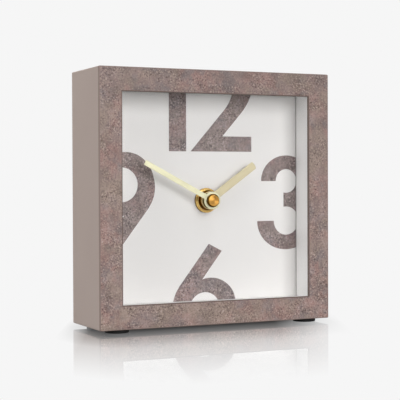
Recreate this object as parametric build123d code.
from build123d import *
import math
import os

# Case. Millimetres, +Z up, the dial looks along -Y, the origin is under the middle of the feet.
CASE_WIDTH = 150.0
CASE_HEIGHT = 150.0
CASE_DEPTH = 46.0
BOARD = 11.0
CASE_CORNER_RADIUS = 0.8
BORDER = 14.0
FACING = 1.5
FACING_EDGE = 0.25
GLASS = 2.0
RECESS = 18.9
LINER_SETBACK = 1.35
DIAL = 2.0
BACK_PANEL = 3.0
CORNER_BLOCK = 12.0
PANEL_CLEARANCE = 0.2

# Feet and back screws
FOOT_DIAMETER = 14.0
FOOT_HEIGHT = 2.0
FOOT_FROM_SIDE = 13.0
FOOT_FROM_FACE = 7.8
SCREW_SHANK = 3.0
SCREW_HEAD = 6.0
SCREW_HEAD_DEPTH = 1.8
SCREW_LENGTH = 13.0
SCREW_CLEARANCE = 0.05
SCREW_CROSS = 3.4
SCREW_CROSS_SLOT = 0.8
SCREW_CROSS_DEPTH = 1.0

# Numerals, printed on the dial and cut off by the liner. Places are from the middle of the front, but the nine's and
# the six's centre lie at a distance from the edge of the window that cuts them.
PRINT = 0.15
PRINT_EDGE_GAP = 0.1
ONE_WIDTH = 11.2
ONE_LEFT = -24.2
TWELVE_FOOT = 27.6
TWO_LEFT = -10.0
TWO_WIDTH = 41.0
TWO_BASE = 9.2
TWO_STROKE = 9.65
TWO_SLOPE = 48.2
TWO_INNER_RUN = 33.5
TWO_OUTER_RUN = 40.0
TWO_BOWL_BORE = 26.0
THREE_CENTRE_X = 55.4
THREE_MOUTH_X = 53.6
THREE_UPPER_Z = 9.6
THREE_UPPER_REACH = 17.6
THREE_UPPER_RISE = 15.9
THREE_UPPER_BORE = 7.4
THREE_LOWER_Z = -15.1
THREE_LOWER_REACH = 20.4
THREE_LOWER_RISE = 17.9
THREE_LOWER_BORE = 8.8
NINE_INSET = 6.4
NINE_CENTRE_Z = 7.7
SIX_CENTRE_X = -1.0
SIX_DROP = 6.6
ROUND_REACH = 21.2
ROUND_RISE = 20.6
ROUND_LIFT = 1.4
ROUND_BORE = 10.2
ROUND_HEEL = 2.6
SHOULDER_X = 3.8
SHOULDER_Z = 3.1
SHOULDER_REACH = 17.0
SHOULDER_RISE = 15.7
TAIL_SLOPE = 52.0
TAIL_OFFSET = 22.0
TAIL_WIDTH = 9.6
TAIL_LENGTH = 32.7
TAIL_END_SKEW = 1.9

# Hands and the brass parts in front of the dial. Heights are above the dial's face.
HAND_AXIS_X = 0.0
HAND_AXIS_DROP = 1.9
SHOWN_HOUR = 1
SHOWN_MINUTE = 49.6
HAND_SHEET = 0.4
HAND_DISC = 10.7
HOUR_HAND_LENGTH = 37.2
HOUR_HAND_WIDTH = 4.8
HOUR_HAND_HEIGHT = 5.2
MINUTE_HAND_LENGTH = 49.0
MINUTE_HAND_WIDTH = 3.1
MINUTE_HAND_HEIGHT = 8.7
NUT_DIAMETER = 15.0
NUT_HEIGHT = 2.4
NUT_DISH = 1.0
NUT_RIM = 1.4
NUT_BEVEL = 1.2
NUT_DISH_SLOPE = 0.5
CAP_DIAMETER = 7.9
CAP_HEIGHT = 2.3
CAP_BEVEL = 0.7
BUSH_DIAMETER = 8.0
BUSH_FLANGE = 11.0
BUSH_ABOVE_NUT = 0.4
COLLET_WALL = 0.9
COLLET_LENGTH = 1.7
HOUR_PIPE_DIAMETER = 5.0
MINUTE_ARBOR_DIAMETER = 3.0
HAND_STUD_DIAMETER = 2.2
HAND_STUD_LENGTH = 1.7
RUNNING_GAP = 0.05
PRESS_GAP = 0.02

# Quartz movement behind the dial. Depths are from the front of its housing.
HOUSING = 56.0
HOUSING_DEPTH = 16.0
HOUSING_WALL = 1.2
HOUSING_CORNER = 2.5
WASHER = 0.8
WASHER_DIAMETER = 20.0
REAR_OPENING_MARGIN = 6.0
CELL_DIAMETER = 14.3
CELL_LENGTH = 50.3
CELL_NUB_DIAMETER = 5.5
CELL_NUB_LENGTH = 1.3
CELL_GAP = 0.35
CONTACT_SHEET = 0.3
CONTACT_STRIP = 3.0
CONTACT_STRIP_DEPTH = 2.6
CONTACT_PAD = 7.0
CONTACT_SLOT_GAP = 0.2
PIVOT_DIAMETER = 1.4
PIVOT_ENTRY = 0.7
PIVOT_END_PLAY = 0.08
KNOB_DIAMETER = 10.0
KNOB_LENGTH = 3.3
KNOB_GAP = 0.3
KNOB_RIBS = 24
KNOB_RIB_DEPTH = 0.35
SETTING_SHAFT_DIAMETER = 2.4

# Gears: teeth, tooth size and the direction, in degrees, from each arbor to the next one
PRESSURE_ANGLE = 30.0
ADDENDUM = 0.8
DEDENDUM = 1.05
BACKLASH = 0.1
MOTION_DISTANCE = 11.0
MOTION_DIRECTION = -5.0
SETTING_DIRECTION = 40.0
CANNON_TEETH = 12
MOTION_TEETH = 36
MOTION_PINION_TEETH = 10
HOUR_TEETH = 40
SETTING_TEETH = 12
CENTRE_TEETH = 64
THIRD_PINION_TEETH = 8
CENTRE_MODULE = 0.3
THIRD_DIRECTION = 51.7
THIRD_TEETH = 60
SECONDS_PINION_TEETH = 8
THIRD_MODULE = 0.27
SECONDS_DIRECTION = 145.7
SECONDS_TEETH = 50
STEP_PINION_TEETH = 10
SECONDS_MODULE = 0.27
STEP_DIRECTION = 210.0
STEP_TEETH = 48
ROTOR_TEETH = 8
STEP_MODULE = 0.25
ROTOR_DIRECTION = 160.0
PINION_OVERHANG = 0.1
HOUR_LAYER = (1.6, 2.8)
MOTION_LAYER = (3.9, 5.1)
CENTRE_LAYER = (6.4, 7.4)
THIRD_LAYER = (8.2, 9.2)
SECONDS_LAYER = (10.0, 10.9)
STEP_LAYER = (11.7, 12.5)
CLUTCH_DIAMETER = 9.0
CLUTCH_SHEET = 0.2
COLLAR_DIAMETER = 4.4
COLLAR_LENGTH = 0.6

# Stepping motor and circuit
MAGNET_DIAMETER = 5.0
MAGNET_LAYER = (8.0, 10.4)
STATOR_GAP = 0.5
STATOR_SHEET = 1.2
STATOR_FRONT = 8.6
STATOR_SIDE = 4.9
STATOR_ARM = 4.0
COIL_LENGTH = 17.0
COIL_DIAMETER = 6.4
COIL_CORE_WIDTH = 2.6
COIL_WALL_GAP = 0.4
BOBBIN_CHEEK = 0.8
BOBBIN_WALL = 0.5
WINDING_INSET = 0.2
BOARD_WIDTH = 18.0
BOARD_HEIGHT = 8.6
BOARD_SHEET = 1.0
BOARD_FRONT = 4.0
PILLAR_DIAMETER = 3.0
CHIP_DIAMETER = 4.0
CHIP_HEIGHT = 0.9
CRYSTAL_DIAMETER = 2.0
CRYSTAL_LENGTH = 6.0

# Places that follow from the sizes above
CAVITY_WIDTH = CASE_WIDTH - 2 * BOARD
CAVITY_HEIGHT = CASE_HEIGHT - 2 * BOARD
WINDOW_WIDTH = CASE_WIDTH - 2 * BORDER
WINDOW_HEIGHT = CASE_HEIGHT - 2 * BORDER
NINE_CENTRE_X = NINE_INSET - WINDOW_WIDTH / 2
SIX_CENTRE_Z = -SIX_DROP - WINDOW_HEIGHT / 2
SHOWN_WIDTH = WINDOW_WIDTH + 2 * LINER_SETBACK
SHOWN_HEIGHT = WINDOW_HEIGHT + 2 * LINER_SETBACK
INSET_WIDTH = CAVITY_WIDTH - 2 * PANEL_CLEARANCE
INSET_HEIGHT = CAVITY_HEIGHT - 2 * PANEL_CLEARANCE
FACE_MIDDLE = (0.0, FOOT_HEIGHT + CASE_HEIGHT / 2)
HAND_AXIS = (HAND_AXIS_X, FACE_MIDDLE[1] - HAND_AXIS_DROP)
DIAL_BACK = RECESS + DIAL
PANEL_FRONT = CASE_DEPTH - BACK_PANEL
HOUSING_FRONT = DIAL_BACK + WASHER
HOUSING_HALF = HOUSING / 2
CHAMBER_HALF = HOUSING_HALF - HOUSING_WALL
COVER_FRONT = HOUSING_DEPTH - HOUSING_WALL
CELL_AXIS_Z = -CHAMBER_HALF + CELL_GAP + CELL_DIAMETER / 2
CELL_AXIS_DEPTH = HOUSING_WALL + CELL_GAP + CELL_DIAMETER / 2
BAY_TOP = CELL_AXIS_Z + CELL_DIAMETER / 2 + CELL_GAP
CHAMBER_FLOOR = BAY_TOP + HOUSING_WALL
CELL_LEFT = -CELL_LENGTH / 2
PIVOT_HOLE_RADIUS = PIVOT_DIAMETER / 2 + RUNNING_GAP
SETTING_HOLE_RADIUS = SETTING_SHAFT_DIAMETER / 2 + RUNNING_GAP
HOUR_PIPE_BORE = MINUTE_ARBOR_DIAMETER / 2 + RUNNING_GAP
BUSH_BORE = HOUR_PIPE_DIAMETER / 2 + RUNNING_GAP


def polar(radius, degrees):
    """The point at a distance and a direction from the origin."""
    angle = math.radians(degrees)
    return (radius * math.cos(angle), radius * math.sin(angle))


def step(start, distance, degrees):
    """The point that lies a distance away from another one in a direction."""
    across, up = polar(distance, degrees)
    return (start[0] + across, start[1] + up)


def spacing(teeth, mating_teeth, module):
    """Distance between the arbors of two meshed gears."""
    return (teeth + mating_teeth) * module / 2


# Arbors of the movement, from the hand axis, in the plane of the dial
CANNON_MODULE = 2 * MOTION_DISTANCE / (CANNON_TEETH + MOTION_TEETH)
HOUR_MODULE = 2 * MOTION_DISTANCE / (MOTION_PINION_TEETH + HOUR_TEETH)
CENTRE = (0.0, 0.0)
MOTION = step(CENTRE, MOTION_DISTANCE, MOTION_DIRECTION)
SETTING = step(MOTION, spacing(MOTION_TEETH, SETTING_TEETH, CANNON_MODULE), SETTING_DIRECTION)
THIRD = step(CENTRE, spacing(CENTRE_TEETH, THIRD_PINION_TEETH, CENTRE_MODULE), THIRD_DIRECTION)
SECONDS = step(THIRD, spacing(THIRD_TEETH, SECONDS_PINION_TEETH, THIRD_MODULE), SECONDS_DIRECTION)
STEP = step(SECONDS, spacing(SECONDS_TEETH, STEP_PINION_TEETH, SECONDS_MODULE), STEP_DIRECTION)
ROTOR = step(STEP, spacing(STEP_TEETH, ROTOR_TEETH, STEP_MODULE), ROTOR_DIRECTION)

# Coil, stator and circuit board, from the hand axis
COIL_X = -CHAMBER_HALF + COIL_WALL_GAP + COIL_DIAMETER / 2
COIL_DEPTH = STATOR_FRONT + 1.5 * STATOR_SHEET
STATOR_HOLE = MAGNET_DIAMETER / 2 + STATOR_GAP
BOBBIN_RADIUS = math.hypot(COIL_CORE_WIDTH, STATOR_SHEET) / 2 + BOBBIN_WALL
STATOR_HALF_HEIGHT = COIL_LENGTH / 2 + STATOR_ARM
BOARD_MIDDLE = (CHAMBER_HALF - CONTACT_SHEET - BOARD_WIDTH / 2,
                CHAMBER_HALF - CONTACT_SHEET - BOARD_HEIGHT / 2)


def layer(sketch, front, back):
    """A flat shape drawn in X and Z, filled from one depth behind the front face to another."""
    plane = Plane(origin=(0, front - CASE_DEPTH / 2, 0), x_dir=(1, 0, 0), z_dir=(0, -1, 0))
    return extrude(plane * sketch, amount=back - front, dir=(0, 1, 0))


def movement_layer(sketch, front, back):
    """The same, drawn from the hand axis and measured from the front of the movement."""
    return layer(Pos(*HAND_AXIS) * sketch, HOUSING_FRONT + front, HOUSING_FRONT + back)


def turned(profile):
    """A body turned about the hand axis, from pairs of radius and depth behind the front face."""
    plane = Plane(origin=(HAND_AXIS[0], 0, HAND_AXIS[1]), x_dir=(1, 0, 0), z_dir=(0, 0, 1))
    points = [(radius, depth - CASE_DEPTH / 2) for radius, depth in profile]
    return revolve(plane * Polygon(*points, align=None), Axis(plane.origin, (0, 1, 0)))


def span(left, bottom, right, top):
    """A rectangle between two corners."""
    return Pos((left + right) / 2, (bottom + top) / 2) * Rectangle(right - left, top - bottom)


def outline_of_case():
    return Pos(*FACE_MIDDLE) * RectangleRounded(CASE_WIDTH, CASE_HEIGHT, CASE_CORNER_RADIUS)


def in_face(width, height):
    """A rectangle about the middle of the front."""
    return Pos(*FACE_MIDDLE) * Rectangle(width, height)


def corners(width, height):
    """The four corners of a rectangle about the middle of the front."""
    middle_x, middle_z = FACE_MIDDLE
    return [(middle_x + side * width / 2, middle_z + level * height / 2)
            for side in (-1, 1) for level in (-1, 1)]


# Case

def case_board(quarter_turns):
    """One mitred board: the top one, turned about the middle of the front."""
    upright = quarter_turns % 2
    length = CASE_HEIGHT if upright else CASE_WIDTH
    reach = (CASE_WIDTH if upright else CASE_HEIGHT) / 2
    board = Polygon((-length / 2, reach), (length / 2, reach), (length / 2 - BOARD, reach - BOARD),
                    (BOARD - length / 2, reach - BOARD), align=None)
    placed = Pos(*FACE_MIDDLE) * (Rot(0, 0, 90 * quarter_turns) * board)
    return layer(placed & outline_of_case(), FACING, CASE_DEPTH)


def front_facing():
    """The printed board on the front, with the window cut out of it."""
    board = layer(outline_of_case() - in_face(WINDOW_WIDTH, WINDOW_HEIGHT), 0, FACING)
    front_edges = board.faces().sort_by(Axis.Y)[0].edges()
    return chamfer(front_edges, FACING_EDGE)


def glass():
    return layer(in_face(INSET_WIDTH, INSET_HEIGHT), FACING, FACING + GLASS)


def liner():
    """The white wall between glass and dial, a little behind the edge of the window."""
    wall = in_face(INSET_WIDTH, INSET_HEIGHT) - in_face(SHOWN_WIDTH, SHOWN_HEIGHT)
    return layer(wall, FACING + GLASS, RECESS)


def dial():
    hole = Pos(*HAND_AXIS) * Circle(BUSH_DIAMETER / 2 + PANEL_CLEARANCE)
    return layer(in_face(INSET_WIDTH, INSET_HEIGHT) - hole, RECESS, DIAL_BACK)


def block_places():
    """The middles of the four corner blocks, which are also the places of the back screws."""
    return corners(INSET_WIDTH - CORNER_BLOCK, INSET_HEIGHT - CORNER_BLOCK)


def corner_blocks():
    pilot = Circle(SCREW_SHANK / 2 + SCREW_CLEARANCE)
    blocks = []
    for place in block_places():
        block = layer(Pos(*place) * Rectangle(CORNER_BLOCK, CORNER_BLOCK), DIAL_BACK, PANEL_FRONT)
        hole_end = CASE_DEPTH - SCREW_LENGTH - SCREW_CLEARANCE
        blocks.append(block - layer(Pos(*place) * pilot, hole_end, PANEL_FRONT))
    return Compound(blocks)


def screw(place, grow):
    """A countersunk screw, its head flush with the back; grow adds room for its hole."""
    shank = layer(Pos(*place) * Circle(SCREW_SHANK / 2 + grow), CASE_DEPTH - SCREW_LENGTH, CASE_DEPTH)
    head_y = CASE_DEPTH / 2 - SCREW_HEAD_DEPTH
    head = Cone(SCREW_SHANK / 2 + grow, SCREW_HEAD / 2 + grow, SCREW_HEAD_DEPTH,
                align=(Align.CENTER, Align.CENTER, Align.MIN))
    return shank + Pos(place[0], head_y, place[1]) * (Rot(-90, 0, 0) * head)


def back_screws():
    """Four countersunk screws with cross recesses."""
    cross = Rectangle(SCREW_CROSS, SCREW_CROSS_SLOT) + Rectangle(SCREW_CROSS_SLOT, SCREW_CROSS)
    recess_end = CASE_DEPTH - SCREW_CROSS_DEPTH
    return Compound([screw(place, 0) - layer(Pos(*place) * cross, recess_end, CASE_DEPTH)
                     for place in block_places()])


def back_panel():
    """The inset back, open behind the movement."""
    width = HOUSING + 2 * REAR_OPENING_MARGIN
    opening = Pos(*HAND_AXIS) * Rectangle(width, width)
    panel = layer(in_face(INSET_WIDTH, INSET_HEIGHT) - opening, PANEL_FRONT, CASE_DEPTH)
    for place in block_places():
        panel -= screw(place, SCREW_CLEARANCE)
    return panel


def feet():
    across = CASE_WIDTH / 2 - FOOT_FROM_SIDE
    along = CASE_DEPTH / 2 - FOOT_FROM_FACE
    pad = Cylinder(FOOT_DIAMETER / 2, FOOT_HEIGHT, align=(Align.CENTER, Align.CENTER, Align.MIN))
    return Compound([Pos(x, y, 0) * pad for x in (-across, across) for y in (-along, along)])


# Numerals

def printed(shape):
    """Ink on the dial, as far as the liner lets it show."""
    shown = in_face(SHOWN_WIDTH - 2 * PRINT_EDGE_GAP, SHOWN_HEIGHT - 2 * PRINT_EDGE_GAP)
    return layer((Pos(*FACE_MIDDLE) * shape) & shown, RECESS - PRINT, RECESS)


def numeral_12():
    """A plain bar, and a two whose bowl runs on out of sight above the window."""
    one = span(ONE_LEFT, TWELVE_FOOT, ONE_LEFT + ONE_WIDTH, CASE_HEIGHT / 2)
    slope = math.radians(TWO_SLOPE)
    foot = (TWO_LEFT, TWELVE_FOOT)
    base_top = TWELVE_FOOT + TWO_BASE
    base = Polygon(foot, (TWO_LEFT + TWO_WIDTH, TWELVE_FOOT), (TWO_LEFT + TWO_WIDTH, base_top),
                   (TWO_LEFT + TWO_BASE / math.tan(slope), base_top), align=None)
    inner_end = step(foot, TWO_INNER_RUN, TWO_SLOPE)
    outer_end = step(step(foot, TWO_OUTER_RUN, TWO_SLOPE), TWO_STROKE, TWO_SLOPE - 90)
    outer_foot = (TWO_LEFT + TWO_STROKE / math.sin(slope), TWELVE_FOOT)
    diagonal = Polygon(inner_end, foot, outer_foot, outer_end, align=None)
    outer_bowl = TWO_BOWL_BORE + TWO_STROKE
    bowl = Pos(*step(outer_end, outer_bowl, TWO_SLOPE + 90)) * Circle(outer_bowl)
    bowl -= Pos(*step(inner_end, TWO_BOWL_BORE, TWO_SLOPE + 90)) * Circle(TWO_BOWL_BORE)
    above = Polygon(inner_end, outer_end, step(outer_end, CASE_WIDTH, TWO_SLOPE),
                    step(inner_end, CASE_WIDTH, TWO_SLOPE + 60), align=None)
    return printed(Sketch() + [one, base, diagonal, bowl & above])


def numeral_3():
    """Two broad bowls, one on the other, cut open on the left."""
    upper = Pos(THREE_CENTRE_X, THREE_UPPER_Z)
    lower = Pos(THREE_CENTRE_X, THREE_LOWER_Z)
    both = upper * Ellipse(THREE_UPPER_REACH, THREE_UPPER_RISE) + lower * Ellipse(THREE_LOWER_REACH, THREE_LOWER_RISE)
    both -= upper * Circle(THREE_UPPER_BORE)
    both -= lower * Circle(THREE_LOWER_BORE)
    mouth = span(-CASE_WIDTH, THREE_LOWER_Z, THREE_MOUTH_X, THREE_UPPER_Z)
    return printed(both - mouth)


def round_numeral(middle, turn):
    """A ring with a full heel, a straight tail on its left and a lower shoulder on its right: a six, or a nine."""
    outer_start = polar(TAIL_OFFSET, TAIL_SLOPE + 90)
    inner_start = polar(TAIL_OFFSET - TAIL_WIDTH, TAIL_SLOPE + 90)
    outer_end = step(outer_start, TAIL_LENGTH, TAIL_SLOPE)
    inner_end = step(inner_start, TAIL_LENGTH + TAIL_END_SKEW, TAIL_SLOPE)
    tail = Polygon(outer_start, inner_start, inner_end, outer_end, align=None)
    beside_tail = Polygon(step(inner_start, CASE_WIDTH, TAIL_SLOPE), inner_start, (0, 0), (CASE_WIDTH, 0), align=None)
    heel = Pos(-ROUND_HEEL, ROUND_LIFT - ROUND_HEEL) * Circle(ROUND_RISE - ROUND_HEEL)
    ring = Pos(0, ROUND_LIFT) * Ellipse(ROUND_REACH, ROUND_RISE) + heel - beside_tail
    shoulder = Pos(SHOULDER_X, SHOULDER_Z) * Ellipse(SHOULDER_REACH, SHOULDER_RISE)
    shape = ring + shoulder + tail - Circle(ROUND_BORE)
    return printed(Pos(*middle) * (Rot(0, 0, turn) * shape))


# Hands and what holds them

def above_dial(height):
    """Depth of a place that lies a height in front of the dial."""
    return RECESS - height


def hand(length, width, height, bore, degrees):
    """A straight blade with a round disc about the axis, turned clockwise from twelve."""
    blade = span(-width / 2, 0, width / 2, length)
    flat = blade + Circle(HAND_DISC / 2) - Circle(bore)
    placed = Pos(*HAND_AXIS) * (Rot(0, 0, -degrees) * flat)
    return layer(placed, above_dial(height + HAND_SHEET), above_dial(height))


def hour_hand():
    degrees = 30 * (SHOWN_HOUR + SHOWN_MINUTE / 60)
    bore = HOUR_PIPE_DIAMETER / 2 + PRESS_GAP
    return hand(HOUR_HAND_LENGTH, HOUR_HAND_WIDTH, HOUR_HAND_HEIGHT, bore, degrees)


def hour_hand_collet():
    """The brass sleeve that grips the hour pipe behind the hand."""
    bore = HOUR_PIPE_DIAMETER / 2 + PRESS_GAP
    sleeve = Pos(*HAND_AXIS) * (Circle(bore + COLLET_WALL) - Circle(bore))
    back = HOUR_HAND_HEIGHT - COLLET_LENGTH
    return layer(sleeve, above_dial(HOUR_HAND_HEIGHT), above_dial(back))


def minute_hand():
    bore = HAND_STUD_DIAMETER / 2 + PRESS_GAP
    return hand(MINUTE_HAND_LENGTH, MINUTE_HAND_WIDTH, MINUTE_HAND_HEIGHT, bore, 6 * SHOWN_MINUTE)


def hand_cap_nut():
    """The round cap on the end of the minute arbor."""
    back = above_dial(MINUTE_HAND_HEIGHT + HAND_SHEET)
    front = back - CAP_HEIGHT
    bore = HAND_STUD_DIAMETER / 2 + PRESS_GAP
    bore_end = above_dial(MINUTE_HAND_HEIGHT + HAND_STUD_LENGTH + PRESS_GAP)
    radius = CAP_DIAMETER / 2
    return turned([(0, front), (radius - CAP_BEVEL, front), (radius, front + CAP_BEVEL),
                   (radius, back), (bore, back), (bore, bore_end), (0, bore_end)])


def fixing_nut():
    """The round nut that clamps dial and movement together, dished inside a raised, bevelled rim."""
    radius = NUT_DIAMETER / 2
    bore = BUSH_DIAMETER / 2 + PRESS_GAP
    front = above_dial(NUT_HEIGHT)
    dish = radius - NUT_RIM
    return turned([(bore, RECESS), (radius, RECESS), (radius, front + NUT_BEVEL), (radius - NUT_BEVEL, front),
                   (dish, front), (dish - NUT_DISH_SLOPE, front + NUT_DISH), (bore, front + NUT_DISH)])


def threaded_bush():
    """The brass bush in the housing's front, through washer, dial and nut."""
    front = above_dial(NUT_HEIGHT + BUSH_ABOVE_NUT)
    flange_front = DIAL_BACK
    radius = BUSH_DIAMETER / 2
    inside = HOUSING_FRONT + HOUSING_WALL
    return turned([(BUSH_BORE, front), (radius, front), (radius, flange_front),
                   (BUSH_FLANGE / 2, flange_front), (BUSH_FLANGE / 2, HOUSING_FRONT),
                   (radius, HOUSING_FRONT), (radius, inside), (BUSH_BORE, inside)])


def rubber_washer():
    inner = BUSH_FLANGE / 2 + PANEL_CLEARANCE
    ring = Pos(*HAND_AXIS) * (Circle(WASHER_DIAMETER / 2) - Circle(inner))
    return layer(ring, DIAL_BACK, HOUSING_FRONT)


# Gears

def tooth_half_angle(radius, teeth, module):
    """Half the angle that an involute tooth fills at a radius outside its base circle."""
    pitch_radius = teeth * module / 2
    pressure = math.radians(PRESSURE_ANGLE)
    at_radius = math.acos(min(1.0, pitch_radius * math.cos(pressure) / radius))
    at_pitch = (math.pi * module - BACKLASH) / (4 * pitch_radius)
    return at_pitch + (math.tan(pressure) - pressure) - (math.tan(at_radius) - at_radius)


def gear(teeth, module, turn):
    """A gear outline with involute flanks, one tooth pointing in the direction turn."""
    pitch_radius = teeth * module / 2
    base = pitch_radius * math.cos(math.radians(PRESSURE_ANGLE))
    root = pitch_radius - DEDENDUM * module
    tip = pitch_radius + ADDENDUM * module
    radii = [root, base, pitch_radius, tip] if base > root else [root, pitch_radius, tip]
    flank = [(radius, math.degrees(tooth_half_angle(max(radius, base), teeth, module)))
             for radius in radii]
    points = []
    for tooth in range(teeth):
        middle = turn + 360 * tooth / teeth
        points += [polar(radius, middle - half) for radius, half in flank]
        points += [polar(radius, middle + half) for radius, half in reversed(flank)]
    return Polygon(*points, align=None)


def meshed_turn(teeth, turn, direction, mating_teeth):
    """Turn of the mating gear that puts a gap of it opposite a tooth on the line of arbors."""
    teeth_along = (direction - turn) * teeth / 360
    return direction + 180 - (0.5 - teeth_along) * 360 / mating_teeth


def arbor(place, radius=PIVOT_DIAMETER / 2, front=None, back=None):
    """A round spindle; by default it runs from pivot hole to pivot hole."""
    start = HOUSING_WALL - PIVOT_ENTRY + PIVOT_END_PLAY if front is None else front
    end = COVER_FRONT + PIVOT_ENTRY - PIVOT_END_PLAY if back is None else back
    return movement_layer(Pos(*place) * Circle(radius), start, end)


def wheel(place, teeth, module, turn, between):
    return movement_layer(Pos(*place) * gear(teeth, module, turn), *between)


def pinion(place, teeth, module, turn, between):
    """A gear that stands a little past both faces of the wheel it drives."""
    front, back = between
    return wheel(place, teeth, module, turn, (front - PINION_OVERHANG, back + PINION_OVERHANG))


def hour_wheel():
    """Wheel and pipe in one; the pipe runs forward through the bush and carries the hour hand."""
    turn = meshed_turn(MOTION_PINION_TEETH, 0, MOTION_DIRECTION + 180, HOUR_TEETH)
    toothed = wheel(CENTRE, HOUR_TEETH, HOUR_MODULE, turn, HOUR_LAYER)
    pipe_end = above_dial(HOUR_HAND_HEIGHT + HAND_SHEET) - HOUSING_FRONT
    pipe = arbor(CENTRE, HOUR_PIPE_DIAMETER / 2, pipe_end, HOUR_LAYER[1])
    return toothed + pipe - arbor(CENTRE, HOUR_PIPE_BORE, pipe_end, HOUR_LAYER[1])


def minute_arbor():
    """The long arbor with the cannon pinion, the stud for the minute hand and the rear pivot."""
    shoulder = above_dial(MINUTE_HAND_HEIGHT) - HOUSING_FRONT
    stud = arbor(CENTRE, HAND_STUD_DIAMETER / 2, shoulder - HAND_STUD_LENGTH, shoulder)
    shaft = arbor(CENTRE, MINUTE_ARBOR_DIAMETER / 2, shoulder, COVER_FRONT - PIVOT_END_PLAY)
    rear_pivot = arbor(CENTRE, PIVOT_DIAMETER / 2, COVER_FRONT - PIVOT_ENTRY)
    return stud + shaft + rear_pivot + pinion(CENTRE, CANNON_TEETH, CANNON_MODULE, 0, MOTION_LAYER)


def clutch_spring():
    """A dished washer between the cannon pinion and the centre wheel, which slips when set."""
    front = HOUSING_FRONT + MOTION_LAYER[1] + PINION_OVERHANG
    back = HOUSING_FRONT + CENTRE_LAYER[0] - PRESS_GAP
    bore = MINUTE_ARBOR_DIAMETER / 2 + PRESS_GAP
    outer = CLUTCH_DIAMETER / 2
    return turned([(bore, front), (bore, front + CLUTCH_SHEET), (outer, back), (outer, back - CLUTCH_SHEET)])


def clutch_collar():
    """The ring on the minute arbor that keeps the centre wheel against the spring."""
    bore = MINUTE_ARBOR_DIAMETER / 2 + PRESS_GAP
    ring = Circle(COLLAR_DIAMETER / 2) - Circle(bore)
    front = CENTRE_LAYER[1] + RUNNING_GAP
    return movement_layer(ring, front, front + COLLAR_LENGTH)


def centre_wheel():
    bore = arbor(CENTRE, MINUTE_ARBOR_DIAMETER / 2 + RUNNING_GAP, *CENTRE_LAYER)
    return wheel(CENTRE, CENTRE_TEETH, CENTRE_MODULE, 0, CENTRE_LAYER) - bore


def motion_wheel():
    turn = meshed_turn(CANNON_TEETH, 0, MOTION_DIRECTION, MOTION_TEETH)
    toothed = wheel(MOTION, MOTION_TEETH, CANNON_MODULE, turn, MOTION_LAYER)
    return arbor(MOTION) + toothed + pinion(MOTION, MOTION_PINION_TEETH, HOUR_MODULE, 0, HOUR_LAYER)


def setting_arbor():
    """The arbor that leads from the motion wheel out through the cover to the knob."""
    motion_turn = meshed_turn(CANNON_TEETH, 0, MOTION_DIRECTION, MOTION_TEETH)
    turn = meshed_turn(MOTION_TEETH, motion_turn, SETTING_DIRECTION, SETTING_TEETH)
    front = arbor(SETTING, back=MOTION_LAYER[0])
    shaft = arbor(SETTING, SETTING_SHAFT_DIAMETER / 2, MOTION_LAYER[1], HOUSING_DEPTH + KNOB_GAP)
    seat = arbor(SETTING, PIVOT_DIAMETER / 2, HOUSING_DEPTH, HOUSING_DEPTH + KNOB_GAP + KNOB_LENGTH / 2)
    return front + shaft + seat + pinion(SETTING, SETTING_TEETH, CANNON_MODULE, turn, MOTION_LAYER)


def setting_knob():
    """A ribbed knob behind the cover, pressed on the setting arbor."""
    radius = KNOB_DIAMETER / 2
    points = []
    for rib in range(KNOB_RIBS):
        for share, inward in ((0.0, 0), (0.45, 0), (0.6, KNOB_RIB_DEPTH), (0.85, KNOB_RIB_DEPTH)):
            points.append(polar(radius - inward, 360 * (rib + share) / KNOB_RIBS))
    front = HOUSING_DEPTH + KNOB_GAP
    knob = movement_layer(Pos(*SETTING) * Polygon(*points, align=None), front, front + KNOB_LENGTH)
    return knob - arbor(SETTING, PIVOT_DIAMETER / 2 + PRESS_GAP, front, front + KNOB_LENGTH / 2 + PRESS_GAP)


def third_wheel():
    turn = meshed_turn(CENTRE_TEETH, 0, THIRD_DIRECTION, THIRD_PINION_TEETH)
    toothed = wheel(THIRD, THIRD_TEETH, THIRD_MODULE, 0, THIRD_LAYER)
    return arbor(THIRD) + toothed + pinion(THIRD, THIRD_PINION_TEETH, CENTRE_MODULE, turn, CENTRE_LAYER)


def seconds_wheel():
    turn = meshed_turn(THIRD_TEETH, 0, SECONDS_DIRECTION, SECONDS_PINION_TEETH)
    toothed = wheel(SECONDS, SECONDS_TEETH, SECONDS_MODULE, 0, SECONDS_LAYER)
    return arbor(SECONDS) + toothed + pinion(SECONDS, SECONDS_PINION_TEETH, THIRD_MODULE, turn, THIRD_LAYER)


def step_wheel():
    turn = meshed_turn(SECONDS_TEETH, 0, STEP_DIRECTION, STEP_PINION_TEETH)
    toothed = wheel(STEP, STEP_TEETH, STEP_MODULE, 0, STEP_LAYER)
    return arbor(STEP) + toothed + pinion(STEP, STEP_PINION_TEETH, SECONDS_MODULE, turn, SECONDS_LAYER)


def rotor_pinion():
    turn = meshed_turn(STEP_TEETH, 0, ROTOR_DIRECTION, ROTOR_TEETH)
    return arbor(ROTOR) + pinion(ROTOR, ROTOR_TEETH, STEP_MODULE, turn, STEP_LAYER)


# Motor and circuit

def rotor_magnet():
    ring = Circle(MAGNET_DIAMETER / 2) - Circle(PIVOT_DIAMETER / 2 + PRESS_GAP)
    return movement_layer(Pos(*ROTOR) * ring, *MAGNET_LAYER)


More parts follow.
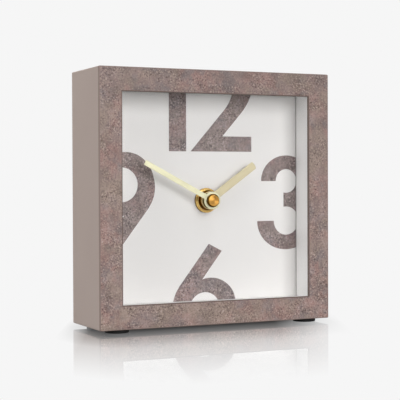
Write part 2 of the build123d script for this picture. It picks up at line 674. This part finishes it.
def stator():
    """A soft-iron plate round the magnet, with an arm to each end of the coil."""
    left = COIL_X - COIL_CORE_WIDTH / 2
    right = ROTOR[0] + STATOR_SIDE
    low = ROTOR[1] - STATOR_HALF_HEIGHT
    high = ROTOR[1] + STATOR_HALF_HEIGHT
    body_left = COIL_X + COIL_DIAMETER / 2 + COIL_WALL_GAP
    plate = span(left, low, right, high)
    plate -= span(left, low + STATOR_ARM, body_left, high - STATOR_ARM)
    plate -= Pos(*ROTOR) * Circle(STATOR_HOLE)
    return movement_layer(plate, STATOR_FRONT, STATOR_FRONT + STATOR_SHEET)


def coil_core():
    """The iron strip through the coil; its ends lie on the stator's arms."""
    low = ROTOR[1] - STATOR_HALF_HEIGHT
    high = ROTOR[1] + STATOR_HALF_HEIGHT
    strip = span(COIL_X - COIL_CORE_WIDTH / 2, low, COIL_X + COIL_CORE_WIDTH / 2, high)
    return movement_layer(strip, STATOR_FRONT + STATOR_SHEET, STATOR_FRONT + 2 * STATOR_SHEET)


def upright(radius, low, high):
    """A round bar along the coil, between two heights from the hand axis."""
    foot = Pos(HAND_AXIS[0] + COIL_X, HOUSING_FRONT + COIL_DEPTH - CASE_DEPTH / 2, HAND_AXIS[1] + low)
    return foot * Cylinder(radius, high - low, align=(Align.CENTER, Align.CENTER, Align.MIN))


def coil_ends():
    half = COIL_LENGTH / 2
    return (ROTOR[1] - half, ROTOR[1] + half)


def coil_bobbin():
    """The plastic former: a sleeve over the core and a cheek at each end."""
    low, high = coil_ends()
    sleeve = upright(BOBBIN_RADIUS, low, high)
    lower_cheek = upright(COIL_DIAMETER / 2, low, low + BOBBIN_CHEEK)
    upper_cheek = upright(COIL_DIAMETER / 2, high - BOBBIN_CHEEK, high)
    half_slot = COIL_CORE_WIDTH / 2 + PRESS_GAP
    slot = movement_layer(span(COIL_X - half_slot, low, COIL_X + half_slot, high),
                          STATOR_FRONT + STATOR_SHEET - PRESS_GAP,
                          STATOR_FRONT + 2 * STATOR_SHEET + PRESS_GAP)
    return sleeve + lower_cheek + upper_cheek - slot


def coil_winding():
    """The fine copper wire on the bobbin, as one solid of its outer shape."""
    low, high = coil_ends()
    low += BOBBIN_CHEEK + PRESS_GAP
    high -= BOBBIN_CHEEK + PRESS_GAP
    return upright(COIL_DIAMETER / 2 - WINDING_INSET, low, high) - upright(BOBBIN_RADIUS + PRESS_GAP, low, high)


def circuit_board():
    sheet = Pos(*BOARD_MIDDLE) * Rectangle(BOARD_WIDTH, BOARD_HEIGHT)
    return movement_layer(sheet, BOARD_FRONT, BOARD_FRONT + BOARD_SHEET)


def control_chip():
    """The drop of black resin over the chip."""
    place = (BOARD_MIDDLE[0] - BOARD_WIDTH / 4, BOARD_MIDDLE[1])
    back = BOARD_FRONT + BOARD_SHEET
    return movement_layer(Pos(*place) * Circle(CHIP_DIAMETER / 2), back, back + CHIP_HEIGHT)


def quartz_crystal():
    """The crystal's metal can, lying across the board."""
    depth = HOUSING_FRONT + BOARD_FRONT + BOARD_SHEET + CRYSTAL_DIAMETER / 2 - CASE_DEPTH / 2
    place = Pos(HAND_AXIS[0] + BOARD_MIDDLE[0] + BOARD_WIDTH / 4, depth, HAND_AXIS[1] + BOARD_MIDDLE[1])
    return place * Cylinder(CRYSTAL_DIAMETER / 2, CRYSTAL_LENGTH)


def battery_cell():
    """One cylindrical cell along X, with its raised end on the right."""
    axis = Pos(HAND_AXIS[0] + CELL_LEFT, HOUSING_FRONT + CELL_AXIS_DEPTH - CASE_DEPTH / 2,
               HAND_AXIS[1] + CELL_AXIS_Z)
    along_x = Rot(0, 90, 0)
    seat = (Align.CENTER, Align.CENTER, Align.MIN)
    body = Cylinder(CELL_DIAMETER / 2, CELL_LENGTH - CELL_NUB_LENGTH, align=seat)
    nub = Cylinder(CELL_NUB_DIAMETER / 2, CELL_LENGTH, align=seat)
    return axis * (along_x * (body + nub))


def contact_strip_layers():
    return (CONTACT_STRIP_DEPTH, CONTACT_STRIP_DEPTH + CONTACT_STRIP)


def contact_pad(left, right):
    """The part of a contact that faces the end of the cell."""
    half = CONTACT_PAD / 2
    pad = span(left, CELL_AXIS_Z - half, right, CELL_AXIS_Z + half)
    return movement_layer(pad, CONTACT_STRIP_DEPTH, CELL_AXIS_DEPTH + half)


def positive_contact():
    """A strip up the right wall, from the raised end of the cell to the circuit board."""
    inner = CHAMBER_HALF - CONTACT_SHEET
    strip = span(inner, CELL_AXIS_Z, CHAMBER_HALF, CHAMBER_HALF - BOARD_HEIGHT / 2)
    dimple = span(CELL_LEFT + CELL_LENGTH + RUNNING_GAP, CELL_AXIS_Z - CELL_NUB_DIAMETER / 2, inner,
                  CELL_AXIS_Z + CELL_NUB_DIAMETER / 2)
    raised = movement_layer(dimple, CELL_AXIS_DEPTH - CELL_NUB_DIAMETER / 2,
                            CELL_AXIS_DEPTH + CELL_NUB_DIAMETER / 2)
    return contact_pad(inner, CHAMBER_HALF) + movement_layer(strip, *contact_strip_layers()) + raised


def negative_contact():
    """A strip up the left wall and along the top to the board, with a bowed leaf at the cell."""
    inner = CONTACT_SHEET - CHAMBER_HALF
    strip = span(-CHAMBER_HALF, CELL_AXIS_Z, inner, CHAMBER_HALF)
    top = span(-CHAMBER_HALF, CHAMBER_HALF - CONTACT_SHEET, BOARD_MIDDLE[0], CHAMBER_HALF)
    half = CONTACT_PAD / 2
    crest = CELL_LEFT - RUNNING_GAP
    bow = Polygon((inner, CELL_AXIS_Z + half), (crest, CELL_AXIS_Z), (inner, CELL_AXIS_Z - half),
                  (inner, CELL_AXIS_Z - half + CONTACT_SHEET), (crest - CONTACT_SHEET, CELL_AXIS_Z),
                  (inner, CELL_AXIS_Z + half - CONTACT_SHEET), align=None)
    leaf = movement_layer(bow, CELL_AXIS_DEPTH - half, CELL_AXIS_DEPTH + half)
    strips = movement_layer(strip + top, *contact_strip_layers())
    return contact_pad(-CHAMBER_HALF, inner) + strips + leaf


# Housing of the movement

def pivot_holes(front, back):
    """Blind holes for every arbor that turns in both halves of the housing."""
    hole = Circle(PIVOT_HOLE_RADIUS)
    return [movement_layer(Pos(*place) * hole, front, back)
            for place in (MOTION, THIRD, SECONDS, STEP, ROTOR)]


def pillar(place, back):
    """A post on the front wall that carries a part inside the housing."""
    return movement_layer(Pos(*place) * Circle(PILLAR_DIAMETER / 2), HOUSING_WALL, back)


def movement_front_case():
    """The tray on the dial side: gear chamber above, open battery bay below."""
    outer = RectangleRounded(HOUSING, HOUSING, HOUSING_CORNER)
    tray = movement_layer(outer, 0, HOUSING_DEPTH)
    tray -= movement_layer(span(-CHAMBER_HALF, CHAMBER_FLOOR, CHAMBER_HALF, CHAMBER_HALF),
                           HOUSING_WALL, HOUSING_DEPTH)
    tray -= movement_layer(span(-CHAMBER_HALF, -CHAMBER_HALF, CHAMBER_HALF, BAY_TOP),
                           HOUSING_WALL, HOUSING_DEPTH)
    tray -= movement_layer(span(-HOUSING, BAY_TOP, HOUSING, HOUSING), COVER_FRONT, HOUSING_DEPTH)
    slot_width = CONTACT_SHEET + CONTACT_SLOT_GAP
    for outer_edge, inner_edge in ((-CHAMBER_HALF, slot_width - CHAMBER_HALF),
                                   (CHAMBER_HALF - slot_width, CHAMBER_HALF)):
        slot = span(outer_edge, BAY_TOP, inner_edge, CHAMBER_FLOOR)
        tray -= movement_layer(slot, CONTACT_STRIP_DEPTH - CONTACT_SLOT_GAP, HOUSING_DEPTH)
    tray -= pivot_holes(HOUSING_WALL - PIVOT_ENTRY, HOUSING_WALL)
    tray -= arbor(SETTING, PIVOT_HOLE_RADIUS, HOUSING_WALL - PIVOT_ENTRY, HOUSING_WALL)
    tray -= arbor(CENTRE, BUSH_DIAMETER / 2, 0, HOUSING_WALL)
    arm_x = ROTOR[0] - STATOR_SIDE / 2
    for side in (-1, 1):
        arm_z = ROTOR[1] + side * (STATOR_HALF_HEIGHT - STATOR_ARM / 2)
        tray += pillar((arm_x, arm_z), STATOR_FRONT)
        tray += pillar((BOARD_MIDDLE[0] + side * BOARD_WIDTH / 3, BOARD_MIDDLE[1]), BOARD_FRONT)
    return tray


def movement_back_cover():
    """The lid over the gear chamber, with the rear pivot holes and the hole for the knob's arbor."""
    outer = RectangleRounded(HOUSING, HOUSING, HOUSING_CORNER) & span(-HOUSING, BAY_TOP, HOUSING, HOUSING)
    lid = movement_layer(outer, COVER_FRONT, HOUSING_DEPTH)
    lid -= pivot_holes(COVER_FRONT, COVER_FRONT + PIVOT_ENTRY)
    lid -= arbor(CENTRE, PIVOT_HOLE_RADIUS, COVER_FRONT, COVER_FRONT + PIVOT_ENTRY)
    return lid - arbor(SETTING, SETTING_HOLE_RADIUS, COVER_FRONT, HOUSING_DEPTH)


PIECES = {
    "case_top": case_board(0),
    "case_left": case_board(1),
    "case_bottom": case_board(2),
    "case_right": case_board(3),
    "front_facing": front_facing(),
    "glass": glass(),
    "liner": liner(),
    "dial": dial(),
    "numeral_12": numeral_12(),
    "numeral_3": numeral_3(),
    "numeral_6": round_numeral((SIX_CENTRE_X, SIX_CENTRE_Z), 0),
    "numeral_9": round_numeral((NINE_CENTRE_X, NINE_CENTRE_Z), 180),
    "corner_blocks": corner_blocks(),
    "back_panel": back_panel(),
    "back_screws": back_screws(),
    "feet": feet(),
    "hour_hand": hour_hand(),
    "hour_hand_collet": hour_hand_collet(),
    "minute_hand": minute_hand(),
    "hand_cap_nut": hand_cap_nut(),
    "fixing_nut": fixing_nut(),
    "threaded_bush": threaded_bush(),
    "rubber_washer": rubber_washer(),
    "movement_front_case": movement_front_case(),
    "movement_back_cover": movement_back_cover(),
    "hour_wheel": hour_wheel(),
    "minute_arbor": minute_arbor(),
    "clutch_spring": clutch_spring(),
    "clutch_collar": clutch_collar(),
    "centre_wheel": centre_wheel(),
    "motion_wheel": motion_wheel(),
    "setting_arbor": setting_arbor(),
    "setting_knob": setting_knob(),
    "third_wheel": third_wheel(),
    "seconds_wheel": seconds_wheel(),
    "step_wheel": step_wheel(),
    "rotor_pinion": rotor_pinion(),
    "rotor_magnet": rotor_magnet(),
    "stator": stator(),
    "coil_core": coil_core(),
    "coil_bobbin": coil_bobbin(),
    "coil_winding": coil_winding(),
    "circuit_board": circuit_board(),
    "control_chip": control_chip(),
    "quartz_crystal": quartz_crystal(),
    "positive_contact": positive_contact(),
    "negative_contact": negative_contact(),
    "battery_cell": battery_cell(),
}

os.makedirs("parts", exist_ok=True)
for name, piece in PIECES.items():
    export_step(piece, f"parts/{name}.step")
print(len(PIECES), "pieces, hand axis at", HAND_AXIS)
for name, place in (("motion", MOTION), ("setting", SETTING), ("third", THIRD), ("seconds", SECONDS),
                    ("step", STEP), ("rotor", ROTOR)):
    print(name, "arbor at", round(HAND_AXIS[0] + place[0], 4), round(HAND_AXIS[1] + place[1], 4))
